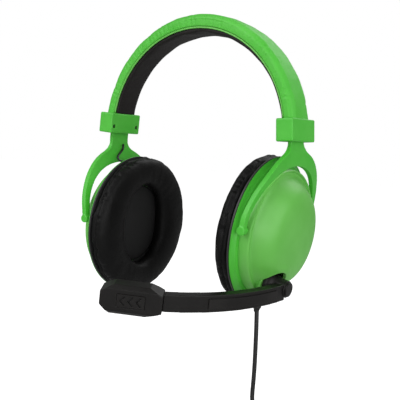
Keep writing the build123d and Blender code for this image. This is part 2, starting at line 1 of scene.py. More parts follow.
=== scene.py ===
"""Over-ear gaming headset: soft goods, moulded parts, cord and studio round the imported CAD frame."""
from __future__ import annotations

import json
import logging
import math
import random
from collections.abc import Sequence
from dataclasses import dataclass
from enum import Enum
from typing import Any

import bmesh
import bpy
import numpy as np
from mathutils import Matrix, Vector, noise

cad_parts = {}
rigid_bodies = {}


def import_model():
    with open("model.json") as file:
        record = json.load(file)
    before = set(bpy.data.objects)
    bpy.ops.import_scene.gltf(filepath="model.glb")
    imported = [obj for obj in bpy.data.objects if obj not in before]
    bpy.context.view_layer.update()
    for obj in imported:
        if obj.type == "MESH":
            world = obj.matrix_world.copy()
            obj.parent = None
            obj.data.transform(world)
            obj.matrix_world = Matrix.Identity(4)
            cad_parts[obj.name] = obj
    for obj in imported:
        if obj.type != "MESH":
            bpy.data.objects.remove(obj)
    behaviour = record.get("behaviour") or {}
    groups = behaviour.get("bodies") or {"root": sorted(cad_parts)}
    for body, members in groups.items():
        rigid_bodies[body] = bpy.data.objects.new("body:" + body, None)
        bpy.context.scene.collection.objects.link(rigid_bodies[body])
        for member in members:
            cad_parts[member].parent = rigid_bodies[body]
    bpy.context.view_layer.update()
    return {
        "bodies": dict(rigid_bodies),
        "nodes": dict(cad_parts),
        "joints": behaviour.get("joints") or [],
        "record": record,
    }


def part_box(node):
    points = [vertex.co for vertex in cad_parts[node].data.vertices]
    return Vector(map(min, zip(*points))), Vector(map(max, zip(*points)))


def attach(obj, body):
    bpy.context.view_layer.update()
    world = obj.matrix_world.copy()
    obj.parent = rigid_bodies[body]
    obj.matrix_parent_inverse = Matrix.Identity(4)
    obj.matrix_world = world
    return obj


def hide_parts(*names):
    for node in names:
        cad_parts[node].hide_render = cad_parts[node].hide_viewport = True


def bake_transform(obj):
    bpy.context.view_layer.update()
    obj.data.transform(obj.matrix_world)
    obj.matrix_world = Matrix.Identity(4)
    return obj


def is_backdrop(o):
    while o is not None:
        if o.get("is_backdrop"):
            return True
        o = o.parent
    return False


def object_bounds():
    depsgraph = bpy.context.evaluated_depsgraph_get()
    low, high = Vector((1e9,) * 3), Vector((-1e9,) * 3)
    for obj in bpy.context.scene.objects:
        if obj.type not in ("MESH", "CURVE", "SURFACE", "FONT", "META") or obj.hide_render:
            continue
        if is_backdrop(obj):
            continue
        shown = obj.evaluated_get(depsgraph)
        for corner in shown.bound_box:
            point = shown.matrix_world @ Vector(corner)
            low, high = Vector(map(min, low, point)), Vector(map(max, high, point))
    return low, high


MM = 0.001
UPRIGHT = Matrix.Rotation(math.radians(-90), 4, "Y") @ Matrix.Scale(MM, 4)
logging.basicConfig(level=logging.INFO, format="%(message)s")
log = logging.getLogger("headset")

Colour = tuple[float, float, float]
Pair = tuple[float, float]
Triple = tuple[float, float, float]


class Side(Enum):
    """The wearer's two sides."""

    LEFT = "left"
    RIGHT = "right"

    @property
    def sign(self) -> int:
        """Return +1 on the left and -1 on the right, the direction that points outward."""
        return 1 if self is Side.LEFT else -1


def clamp(value: float) -> float:
    """Return a value held between 0 and 1."""
    return max(0.0, min(1.0, value))


def eased(share: float) -> float:
    """Return a share from 0 to 1 with a soft start and a soft end."""
    return share * share * (3 - 2 * share)


# Shader building ------------------------------------------------------------------------
class Wire:
    """A value socket that ordinary arithmetic can be written with."""

    def __init__(self, recipe: "Recipe", socket: bpy.types.NodeSocket) -> None:
        """Keep the recipe that the socket belongs to, and the socket."""
        self.recipe = recipe
        self.socket = socket

    def __add__(self, other: Any) -> "Wire":
        """Return self + other."""
        return self.recipe.maths("ADD", self, other)

    __radd__ = __add__

    def __sub__(self, other: Any) -> "Wire":
        """Return self - other."""
        return self.recipe.maths("SUBTRACT", self, other)

    def __rsub__(self, other: Any) -> "Wire":
        """Return other - self."""
        return self.recipe.maths("SUBTRACT", other, self)

    def __mul__(self, other: Any) -> "Wire":
        """Return self * other."""
        return self.recipe.maths("MULTIPLY", self, other)

    __rmul__ = __mul__


class Recipe:
    """One material's node tree, built from a Principled shader outward."""

    def __init__(self, name: str) -> None:
        """Start a material with an empty tree, a Principled shader and its output.

        Args:
            name: the material's name.
        """
        self.material = bpy.data.materials.new(name)
        self.material.use_nodes = True
        self.tree = self.material.node_tree
        self.tree.nodes.clear()
        self.shader = self.tree.nodes.new("ShaderNodeBsdfPrincipled")
        output = self.tree.nodes.new("ShaderNodeOutputMaterial")
        self.tree.links.new(self.shader.outputs["BSDF"], output.inputs["Surface"])

    def node(self, kind: str, settings: dict[str, Any], values: dict[Any, Any], output: Any = 0) -> Wire:
        """Add any node.

        Args:
            kind: the node's type.
            settings: its properties, set first; "stops" sets a colour ramp.
            values: what goes into its sockets, a number, a colour or a Wire, by name or place.
            output: the output socket to return.

        Returns:
            The chosen output.
        """
        made = self.tree.nodes.new(kind)
        for key, value in settings.items():
            if key == "stops":
                ramp = made.color_ramp.elements
                while len(ramp) < len(value):
                    ramp.new(0.5)
                for stop, (place, shade) in zip(ramp, value):
                    stop.position = place
                    stop.color = (shade, shade, shade, 1.0)
            else:
                setattr(made, key, value)
        for key, value in values.items():
            self.feed(made.inputs[key], value)
        return Wire(self, made.outputs[output])

    def feed(self, socket: bpy.types.NodeSocket, value: Any) -> None:
        """Link a Wire to a socket, or set the socket to a number or colour."""
        if isinstance(value, Wire):
            self.tree.links.new(value.socket, socket)
        elif isinstance(value, tuple) and len(value) == 3 and socket.type == "RGBA":
            socket.default_value = (*value, 1.0)
        else:
            socket.default_value = value

    def maths(self, operation: str, first: Any, second: Any) -> Wire:
        """Add a Math node on two values."""
        return self.node("ShaderNodeMath", {"operation": operation}, {0: first, 1: second})

    def mix(self, factor: Wire, first: Any, second: Any) -> Wire:
        """Blend two colours by a factor."""
        return self.node("ShaderNodeMix", {"data_type": "RGBA"}, {0: factor, 6: first, 7: second}, 2)

    def place(self) -> Wire:
        """Return the point on the piece in its own frame, in metres."""
        return self.node("ShaderNodeTexCoord", {}, {}, "Object")

    def noise(self, place: Wire, cell_mm: float, detail: float = 2.0) -> Wire:
        """Return soft noise whose features are about cell_mm across."""
        return self.node("ShaderNodeTexNoise", {}, {"Vector": place, "Scale": 1 / (cell_mm * MM),
                                                    "Detail": detail})

    def cells(self, place: Wire, cell_mm: float, feature: str) -> Wire:
        """Return the distance field of random cells about cell_mm across."""
        return self.node("ShaderNodeTexVoronoi", {"feature": feature},
                         {"Vector": place, "Scale": 1 / (cell_mm * MM)}, "Distance")

    def ramp(self, value: Wire, stops: Sequence[Pair]) -> Wire:
        """Run a value through grey stops."""
        return self.node("ShaderNodeValToRGB", {"stops": stops}, {"Fac": value}, "Color")

    def edges(self, low: float, high: float) -> Wire:
        """Return how far a point is out on a convex edge, from 0 to 1."""
        raised = self.node("ShaderNodeNewGeometry", {}, {}, "Pointiness")
        return self.ramp(raised, ((low, 0.0), (high, 1.0)))

    def bump(self, height: Wire, depth_mm: float, under: Wire | None = None) -> Wire:
        """Return a normal that stands for relief depth_mm deep."""
        values: dict[Any, Any] = {"Height": height, "Distance": depth_mm * MM, "Strength": 1.0}
        if under is not None:
            values["Normal"] = under
        return self.node("ShaderNodeBump", {}, values, "Normal")

    def rounded(self, radius_mm: float) -> Wire:
        """Return a normal that softens sharp edges over a small radius."""
        return self.node("ShaderNodeBevel", {"samples": 4}, {"Radius": radius_mm * MM}, "Normal")

    def finish(self, **values: Any) -> bpy.types.Material:
        """Set the shader's sockets, with _ for the spaces in their names, and return the material."""
        for key, value in values.items():
            self.feed(self.shader.inputs[key.replace("_", " ")], value)
        return self.material


@dataclass(frozen=True)
class Moulding:
    """Injection-moulded plastic with a fine spark-eroded grain, and a painted highlight that makes its convex
    edges paler.
    """

    name: str
    colour: Colour
    pale: Colour
    roughness: float = 0.42
    grain_mm: float = 0.5
    grain_depth_mm: float = 0.012
    edge_mm: float = 0.35
    gloss: float = 0.5

    def make(self) -> bpy.types.Material:
        """Build the material."""
        recipe = Recipe(self.name)
        place = recipe.place()
        clouds = recipe.noise(place, 22.0, 3.0)
        grain = recipe.noise(place, self.grain_mm, 2.0)
        flow = recipe.noise(place, 6.0, 4.0)
        tint = recipe.mix(recipe.ramp(clouds, ((0.35, 0.0), (0.7, 0.35))), self.colour, self.pale)
        # Painted highlight: convex edges, found by pointiness, are blended toward the paler colour.
        tint_with_edge_highlight = recipe.mix(recipe.edges(0.52, 0.62) * 0.6, tint, self.pale)
        rough = self.roughness + (flow - 0.5) * 0.12 + (grain - 0.5) * 0.08
        return recipe.finish(Base_Color=tint_with_edge_highlight, Roughness=rough, Specular_IOR_Level=self.gloss,
                             Normal=recipe.bump(grain, self.grain_depth_mm, recipe.rounded(self.edge_mm)))


@dataclass(frozen=True)
class Leatherette:
    """Coated cloth: pebbled grain with creases, and a painted highlight that makes its convex edges paler."""

    name: str
    colour: Colour
    pale: Colour
    roughness: float = 0.5
    pebble_mm: float = 1.1
    pebble_depth_mm: float = 0.05
    crease_depth_mm: float = 0.18
    gloss: float = 0.5

    def make(self) -> bpy.types.Material:
        """Build the material."""
        recipe = Recipe(self.name)
        place = recipe.place()
        borders = recipe.cells(place, self.pebble_mm, "DISTANCE_TO_EDGE")
        pebbles = recipe.ramp(borders, ((0.0, 0.0), (0.22, 1.0)))
        creases = recipe.noise(place, 5.5, 5.0)
        broad = recipe.noise(place, 30.0, 2.0)
        tint = recipe.mix(recipe.ramp(broad, ((0.3, 0.0), (0.75, 0.6))), self.colour, self.pale)
        # Painted highlight: convex edges, found by pointiness, are blended toward the paler colour.
        raised = recipe.mix(recipe.edges(0.5, 0.6) * 0.5, tint, self.pale)
        relief = recipe.bump(creases, self.crease_depth_mm)
        rough = self.roughness + (1 - pebbles) * 0.12 + (creases - 0.5) * 0.18
        return recipe.finish(Base_Color=raised, Roughness=rough, Specular_IOR_Level=self.gloss,
                             Normal=recipe.bump(pebbles, self.pebble_depth_mm, relief))


@dataclass(frozen=True)
class Jacket:
    """Extruded cord jacket: soft, slightly glossy, with faint draw lines."""

    name: str
    colour: Colour
    pale: Colour
    roughness: float = 0.38

    def make(self) -> bpy.types.Material:
        """Build the material."""
        recipe = Recipe(self.name)
        place = recipe.place()
        dust = recipe.noise(place, 7.0, 4.0)
        skin = recipe.noise(place, 0.6, 2.0)
        tint = recipe.mix(recipe.ramp(dust, ((0.4, 0.0), (0.8, 0.6))), self.colour, self.pale)
        return recipe.finish(Base_Color=tint, Roughness=self.roughness + (dust - 0.5) * 0.2,
                             Normal=recipe.bump(skin, 0.02))


@dataclass(frozen=True)
class Metal:
    """Plated or plain metal with faint turning marks."""

    name: str
    colour: Colour
    pale: Colour
    roughness: float = 0.25

    def make(self) -> bpy.types.Material:
        """Build the material."""
        recipe = Recipe(self.name)
        place = recipe.place()
        marks = recipe.noise(place, 0.9, 4.0)
        smears = recipe.noise(place, 6.0, 2.0)
        tint = recipe.mix(smears, self.colour, self.pale)
        return recipe.finish(Base_Color=tint, Metallic=1.0, Roughness=self.roughness + (marks - 0.5) * 0.16,
                             Normal=recipe.bump(marks, 0.01))


@dataclass(frozen=True)
class Weave:
    """Open speaker cloth or woven strap: two crossing sets of threads."""

    name: str
    colour: Colour
    pale: Colour
    thread_mm: float = 0.9
    roughness: float = 0.85

    def make(self) -> bpy.types.Material:
        """Build the material."""
        recipe = Recipe(self.name)
        place = recipe.place()
        threads = []
        for direction in ("Y", "Z"):
            threads.append(recipe.node("ShaderNodeTexWave", {"bands_direction": direction},
                                       {"Vector": place, "Scale": 0.314 / (self.thread_mm * MM),
                                        "Distortion": 0.4, "Detail": 1.0}, "Fac"))
        cloth = threads[0] * threads[1]
        fuzz = recipe.noise(place, 1.6, 3.0)
        tint = recipe.mix(cloth * fuzz, self.colour, self.pale)
        return recipe.finish(Base_Color=tint, Roughness=self.roughness - cloth * 0.1,
                             Normal=recipe.bump(cloth, 0.12))


Finish = Moulding | Leatherette | Jacket | Metal | Weave

FINISHES: dict[str, Finish] = {
    "band_leather": Leatherette("green leatherette", (0.062, 0.49, 0.028), (0.12, 0.6, 0.07), 0.48,
                                crease_depth_mm=0.12),
    "band_pad_leather": Leatherette("smooth black leatherette", (0.009, 0.007, 0.007), (0.016, 0.013, 0.013),
                                    0.5, pebble_depth_mm=0.02, crease_depth_mm=0.1, gloss=0.28),
    "pad_leather": Leatherette("black cushion leatherette", (0.002, 0.002, 0.002), (0.004, 0.004, 0.0037),
                               0.42, crease_depth_mm=0.25, gloss=0.17),
    "green_plastic": Moulding("satin green", (0.06, 0.49, 0.03), (0.13, 0.62, 0.08)),
    "dome_plastic": Moulding("pale satin green", (0.13, 0.5, 0.07), (0.2, 0.62, 0.13), 0.4),
    "black_plastic": Moulding("matt black", (0.013, 0.013, 0.013), (0.03, 0.03, 0.03), 0.5),
    "boom_plastic": Moulding("satin charcoal", (0.004, 0.0034, 0.003), (0.012, 0.0105, 0.0098), 0.4,
                             edge_mm=0.5, gloss=0.28),
    "cone_film": Moulding("cone film", (0.25, 0.24, 0.2), (0.35, 0.33, 0.28), 0.3),
    "plug_plastic": Moulding("plug black", (0.012, 0.012, 0.012), (0.03, 0.03, 0.03), 0.45),
    "cord_jacket": Jacket("cord jacket", (0.003, 0.0027, 0.0027), (0.006, 0.0055, 0.0055), 0.5),
    "wire_insulation": Jacket("link wire jacket", (0.01, 0.01, 0.01), (0.022, 0.022, 0.022), 0.3),
    "scrim_cloth": Weave("speaker cloth", (0.004, 0.004, 0.004), (0.02, 0.02, 0.02), 0.8),
    "tie_strap": Weave("tie strap", (0.012, 0.012, 0.012), (0.04, 0.04, 0.04), 0.9),
    "spring_steel": Metal("spring steel", (0.5, 0.51, 0.53), (0.62, 0.63, 0.65), 0.3),
    "screw_steel": Metal("blackened screw", (0.03, 0.03, 0.03), (0.07, 0.07, 0.07), 0.4),
    "magnet_metal": Metal("zinc plate", (0.42, 0.43, 0.42), (0.55, 0.55, 0.53), 0.35),
    "capsule_metal": Metal("microphone can", (0.02, 0.02, 0.02), (0.04, 0.04, 0.04), 0.5),
    "plug_metal": Metal("nickel plug", (0.72, 0.7, 0.66), (0.85, 0.84, 0.8), 0.16),
}


class Paintbox:
    """Makes each finish once and dresses pieces with it."""

    def __init__(self) -> None:
        """Start with nothing mixed."""
        self.mixed: dict[str, bpy.types.Material] = {}

    def material(self, slot: str) -> bpy.types.Material:
        """Return a slot's material, made the first time that it is asked for."""
        if slot not in self.mixed:
            self.mixed[slot] = FINISHES[slot].make()
        return self.mixed[slot]

    def dress(self, piece: bpy.types.Object, slot: str) -> None:
        """Give a piece the slot's material."""
        piece.data.materials.clear()
        piece.data.materials.append(self.material(slot))


# Mesh building --------------------------------------------------------------------------
def linked(name: str, data: bpy.types.ID) -> bpy.types.Object:
    """Put an object made of the given data in the scene."""
    piece = bpy.data.objects.new(name, data)
    bpy.context.scene.collection.objects.link(piece)
    return piece


def new_mesh(name: str, points: Sequence[Sequence[float]],
             faces: Sequence[Sequence[int]]) -> bpy.types.Object:
    """Make a smooth-shaded mesh object, facing outward.

    Args:
        name: the piece's name.
        points: its points, in metres in the row frame.
        faces: its faces, as places in points.

    Returns:
        The linked object.
    """
    mesh = bpy.data.meshes.new(name)
    mesh.from_pydata([tuple(p) for p in points], [], faces)
    shape = bmesh.new()
    shape.from_mesh(mesh)
    bmesh.ops.recalc_face_normals(shape, faces=shape.faces)
    shape.to_mesh(mesh)
    shape.free()
    mesh.shade_smooth()
    return linked(name, mesh)


def loft(name: str, rings: Sequence[Sequence[Sequence[float]]], ends: bool = True,
         closed: bool = False) -> bpy.types.Object:
    """Skin a run of rings that have the same number of points.

    Args:
        name: the piece's name.
        rings: the rings, in order.
        ends: whether the first and last ring are filled.
        closed: whether the last ring joins the first.

    Returns:
        The mesh object.
    """
    count, total = len(rings[0]), len(rings)
    points = [p for ring in rings for p in ring]
    faces: list[list[int]] = []
    for row in range(total if closed else total - 1):
        here, there = row * count, (row + 1) % total * count
        for k in range(count):
            after = (k + 1) % count
            faces.append([here + k, here + after, there + after, there + k])
    if ends and not closed:
        faces.append(list(range(count)))
        faces.append([(total - 1) * count + k for k in range(count)])
    return new_mesh(name, points, faces)


def lathe(name: str, profile: Sequence[Pair], frame: Matrix, steps: int = 64) -> bpy.types.Object:
    """Turn a profile round the frame's X axis.

    Args:
        name: the piece's name.
        profile: (radius, distance along X) in millimetres, from one end on the axis to the other.
        frame: where the axis lies.
        steps: the number of rings round.

    Returns:
        The mesh object.
    """
    rings = []
    for radius, along in profile:
        ring = []
        for step in range(steps):
            turn = math.tau * step / steps
            ring.append(frame @ Vector((along, radius * math.cos(turn), radius * math.sin(turn))))
        rings.append(ring)
    return loft(name, rings)


def apply_modifiers(piece: bpy.types.Object) -> None:
    """Bake a piece's modifiers into its mesh."""
    ready = piece.evaluated_get(bpy.context.evaluated_depsgraph_get())
    mesh = bpy.data.meshes.new_from_object(ready)
    piece.modifiers.clear()
    piece.data = mesh


def softened(node: bpy.types.Object, name: str, cell_mm: float, passes: int) -> bpy.types.Object:
    """Copy a CAD node as one moulded skin with rounded edges.

    Args:
        node: the CAD node.
        name: the new piece's name.
        cell_mm: the size of the skin's cells.
        passes: how many times the skin is smoothed.

    Returns:
        The new mesh object.
    """
    mesh = node.data.copy()
    shape = bmesh.new()
    shape.from_mesh(mesh)
    bmesh.ops.remove_doubles(shape, verts=shape.verts, dist=1e-6)
    shape.to_mesh(mesh)
    shape.free()
    piece = linked(name, mesh)
    skin = piece.modifiers.new("skin", "REMESH")
    skin.mode = "VOXEL"
    skin.voxel_size = cell_mm * MM
    skin.use_smooth_shade = True
    relax = piece.modifiers.new("relax", "SMOOTH")
    relax.factor = 0.5
    relax.iterations = passes
    apply_modifiers(piece)
    return piece


def tube_along(name: str, points: Sequence[Triple], radius: float) -> bpy.types.Object:
    """Make a round flexible lead on one smooth line.

    Args:
        name: the piece's name.
        points: the line's control points, in metres.
        radius: the lead's radius, in metres.

    Returns:
        The curve object.
    """
    curve = bpy.data.curves.new(name, "CURVE")
    curve.dimensions = "3D"
    curve.bevel_depth = radius
    curve.bevel_resolution = 4
    curve.use_fill_caps = True
    line = curve.splines.new("NURBS")
    line.points.add(len(points) - 1)
    for point, place in zip(line.points, points):
        point.co = (*place, 1.0)
    line.order_u = 3
    line.use_endpoint_u = True
    line.resolution_u = 6
    return linked(name, curve)


def tube_mesh(name: str, curve: bpy.types.Object) -> tuple[bpy.types.Object, list[Triple]]:
    """Turn a lead's curve into a mesh, and read its centre line.

    Args:
        name: the new piece's name.
        curve: the curve, which is removed.

    Returns:
        The mesh object, and the points that its line passes through, in metres.
    """
    skin = bpy.data.meshes.new_from_object(curve.evaluated_get(bpy.context.evaluated_depsgraph_get()))
    curve.data.bevel_depth = 0.0
    bpy.context.view_layer.update()
    bare = bpy.data.meshes.new_from_object(curve.evaluated_get(bpy.context.evaluated_depsgraph_get()))
    centre = [tuple(v.co) for v in bare.vertices]
    bpy.data.objects.remove(curve)
    piece = linked(name, skin)
    skin.shade_smooth()
    return piece, centre


def node_points(node: bpy.types.Object) -> np.ndarray:
    """Return a node's points as an array, in metres."""
    flat = np.zeros(len(node.data.vertices) * 3)
    node.data.vertices.foreach_get("co", flat)
    return flat.reshape(-1, 3)


@dataclass
class SideFrame:
    """Where one side's yoke and cup sit at rest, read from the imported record.

    The yoke frame starts at the cup's pivot and the cup frame at the middle of the baffle's inner
    face. In both, X points outward from the head, Y to the back and Z up.
    """

    side: Side
    yoke: Matrix
    cup: Matrix

    @classmethod
    def read(cls, frame: dict[str, Any], side: Side) -> "SideFrame":
        """Work out both frames from the tilt joint and the pad plate.

        Args:
            side: the side.

        Returns:
            The side's frames.
        """
        joint = next(j for j in frame["joints"] if j["name"] == f"{side.value}_tilt")
        back = Vector(joint["axis"]).normalized()
        outward = Vector((side.sign, 0.0, 0.0))
        yoke = cls.axes(Vector(joint["pos_m"]), outward, back, side)
        plate = node_points(frame["nodes"][f"{side.value}_pad_plate"])
        middle = (plate.min(0) + plate.max(0)) / 2
        normal = Vector(np.linalg.svd(plate - plate.mean(0))[2][2])
        normal = normal if normal.x * side.sign > 0 else -normal
        top = float(((plate - middle) @ np.array(normal)).max())
        return cls(side, yoke, cls.axes(Vector(middle) + normal * top, normal, back, side))

    @staticmethod
    def axes(origin: Vector, outward: Vector, back: Vector, side: Side) -> Matrix:
        """Return the matrix, in millimetres, whose X is outward, Y is back and Z is up."""
        up = outward.cross(back) * side.sign
        turn = Matrix((outward, back, up)).transposed().to_4x4()
        return Matrix.Translation(origin) @ turn @ Matrix.Scale(MM, 4)


# Headband -------------------------------------------------------------------------------
@dataclass
class Headband:
    """The padded bow: green cover, black pad, piping between them, and the collars."""

    paint: Paintbox
    nodes: dict[str, bpy.types.Object]
    cover_out: Pair = (83.3, 85.2)
    cover_in: Pair = (75.3, 76.2)
    pad_in: Pair = (72.8, 72.3)
    cover_width: float = 24.4
    pad_width: float = 21.0
    corner: float = 3.4
    pleats: int = 74
    arc_steps: int = 420
    pad_steps: int = 240
    piping_steps: int = 180
    piping_radius: float = 0.62
    piping_gap: float = 0.75
    seed: int = 11

    def __post_init__(self) -> None:
        """Read the height of the arch's centre line, in millimetres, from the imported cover."""
        self.centre_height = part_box("band_cover")[1].z / MM - self.cover_out[1]

    def end_angle(self, node: str, height: float) -> float:
        """Return the arch angle at which a node ends.

        Args:
            node: the CAD node.
            height: the arch's half height there, in millimetres.

        Returns:
            The angle above the arch's centre line, in radians.
        """
        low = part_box(node)[0].z / MM - self.centre_height
        return math.asin(low / height)

    def arch_point(self, turn: float, inner: Pair, outer: Pair, rise: float, across: float) -> Vector:
        """Return a point of the band.

        Args:
            turn: the angle along the arch, from 0 at the left end.
            inner: the inner ellipse's half width and half height, in millimetres.
            outer: the outer ellipse's.
            rise: how far from the inner ellipse to the outer, from 0 to 1.
            across: the distance from the band's middle to its back edge, in millimetres.

        Returns:
            The point in metres.
        """
        wide = inner[0] + (outer[0] - inner[0]) * rise
        high = inner[1] + (outer[1] - inner[1]) * rise
        return Vector((wide * math.cos(turn), across,
                       high * math.sin(turn) + self.centre_height)) * MM

    def build_cover(self) -> bpy.types.Object:
        """Sew the green cover: a crowned strip with pleats gathered on both edges."""
        dice = random.Random(self.seed)
        start = self.end_angle("band_cover", self.cover_in[1])
        half = self.cover_width / 2
        loop: list[tuple[float, float, float]] = []
        corner = self.corner
        thick = self.cover_out[0] - self.cover_in[0]
        for step in range(13):
            along = step / 12
            loop.append((half, 0.1 + 0.5 * along, 1.0))
        for step in range(1, 9):
            bend = math.pi / 2 * step / 8
            rise = 1 - corner / thick * (1 - math.sin(bend))
            loop.append((half - corner * (1 - math.cos(bend)), rise, 0.8))
        for step in range(1, 12):
            along = step / 12
            loop.append(((half - corner) * (1 - along * 2), 1.0, 0.1))
        front = [(-across, rise, weight) for across, rise, weight in reversed(loop[:21])]
        loop += front
        for step in range(1, 8):
            along = step / 8
            loop.append((-half + along * 2 * half, 0.0, 0.0))
        pleats = []
        for edge in (1, -1):
            for _ in range(self.pleats):
                pleats.append((edge, dice.uniform(start + 0.03, math.pi - start - 0.03),
                               dice.uniform(0.12, 0.42), dice.uniform(0.006, 0.013),
                               dice.uniform(-0.25, 0.25), dice.uniform(0.45, 1.0)))
        rings = []
        for step in range(self.arc_steps + 1):
            turn = start + (math.pi - 2 * start) * step / self.arc_steps
            ring = []
            wander = 0.9 * math.sin(turn * 3.1 + 0.4) + 0.5 * math.sin(turn * 7.3)
            for across, rise, weight in loop:
                crown = 0.75 * (1 - (across / half) ** 2) * (rise > 0.98)
                swell = 0.5 * math.sin(math.pi * min(1.0, rise)) * (abs(across) > half - 1.5)
                shove = math.copysign(1.0, across) * swell
                slack = noise.noise(Vector((turn * 9, across * 0.12, rise * 1.4))) * 0.35
                dent = 0.0
                if weight > 0.05:
                    for edge, spot, depth, wide, lean, reach in pleats:
                        if edge * across <= 0:
                            continue
                        off = turn - spot - lean * (rise - 0.5) * 0.08
                        if abs(off) < 3 * wide:
                            fade = max(0.0, 1 - abs(rise - 0.55) / reach)
                            dent += depth * math.exp(-(off / wide) ** 2) * fade * weight
                edge_in = -math.copysign(dent, across) if abs(across) > half - 4 else 0.0
                lift = -dent * 0.6 if rise > 0.7 else 0.0
                at_edge = (rise > 0.6) * (abs(across) > half - 4)
                squeeze = -0.35 * wander * at_edge * math.copysign(1.0, across)
                rise_mm = (crown + lift + slack * (rise > 0.5)) / thick
                ring.append(self.arch_point(turn, self.cover_in, self.cover_out, rise + rise_mm,
                                            across + shove + edge_in + squeeze))
            rings.append(ring)
        cover = loft("cover_skin", rings)
        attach(cover, "headband")
        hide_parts("band_cover")
        self.paint.dress(cover, "band_leather")
        return cover

    def build_pad(self) -> bpy.types.Object:
        """Sew the black pad that rests on the head."""
        start = self.end_angle("band_pad", self.pad_in[1])
        half = self.pad_width / 2
        loop = []
        for step in range(48):
            turn = math.tau * step / 48
            wide, high = math.cos(turn), math.sin(turn)
            across = half * math.copysign(abs(wide) ** 0.34, wide)
            rise = 0.5 + 0.5 * math.copysign(abs(high) ** 0.5, high)
            loop.append((across, rise))
        rings = []
        for step in range(self.pad_steps + 1):
            turn = start + (math.pi - 2 * start) * step / self.pad_steps
            ends = min(1.0, min(turn - start, math.pi - start - turn) / 0.05)
            ring = []
            for across, rise in loop:
                slack = noise.noise(Vector((turn * 7, across * 0.16, 4.0))) * 0.14 * (1 - rise)
                puff = (0.16 * (1 - (across / half) ** 4) - 0.1) * (1 - rise) * ends
                ring.append(self.arch_point(turn, self.pad_in, self.cover_in, rise - puff + slack, across))
            rings.append(ring)
        pad = loft("pad_skin", rings)
        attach(pad, "headband")
        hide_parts("band_pad")
        self.paint.dress(pad, "band_pad_leather")
        return pad

    def build_piping(self) -> list[bpy.types.Object]:
        """Lay the cord of piping along both edges of the pad."""
        made = []
        start = self.end_angle("band_pad", self.pad_in[1])
        for edge, name in ((-1, "piping_front"), (1, "piping_back")):
            rings = []
            for step in range(self.piping_steps + 1):
                turn = start + (math.pi - 2 * start) * step / self.piping_steps
                ring = []
                for k in range(10):
                    bend = math.tau * k / 10
                    rise = -0.03 + 0.075 * math.sin(bend)
                    across = self.pad_width / 2 + self.piping_gap + self.piping_radius * math.cos(bend)
                    ring.append(self.arch_point(turn, self.cover_in, self.cover_out, rise, edge * across))
                rings.append(ring)
            piping = loft(name, rings)
            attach(piping, "headband")
            self.paint.dress(piping, "dome_plastic")
            made.append(piping)
        return made

    def build_collars(self) -> list[bpy.types.Object]:
        """Mould the two collars with soft edges."""
        made = []
        for side in Side:
            collar = softened(self.nodes[f"{side.value}_collar"], f"{side.value}_collar_skin", 0.4, 4)
            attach(collar, "headband")
            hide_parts(f"{side.value}_collar")
            self.paint.dress(collar, "green_plastic")
            made.append(collar)
        return made

    def build(self) -> None:
        """Build the whole band."""
        for piece in (self.build_cover(), self.build_pad(), *self.build_piping(), *self.build_collars()):
            log.info("headband: %s, %d faces", piece.name, len(piece.data.polygons))


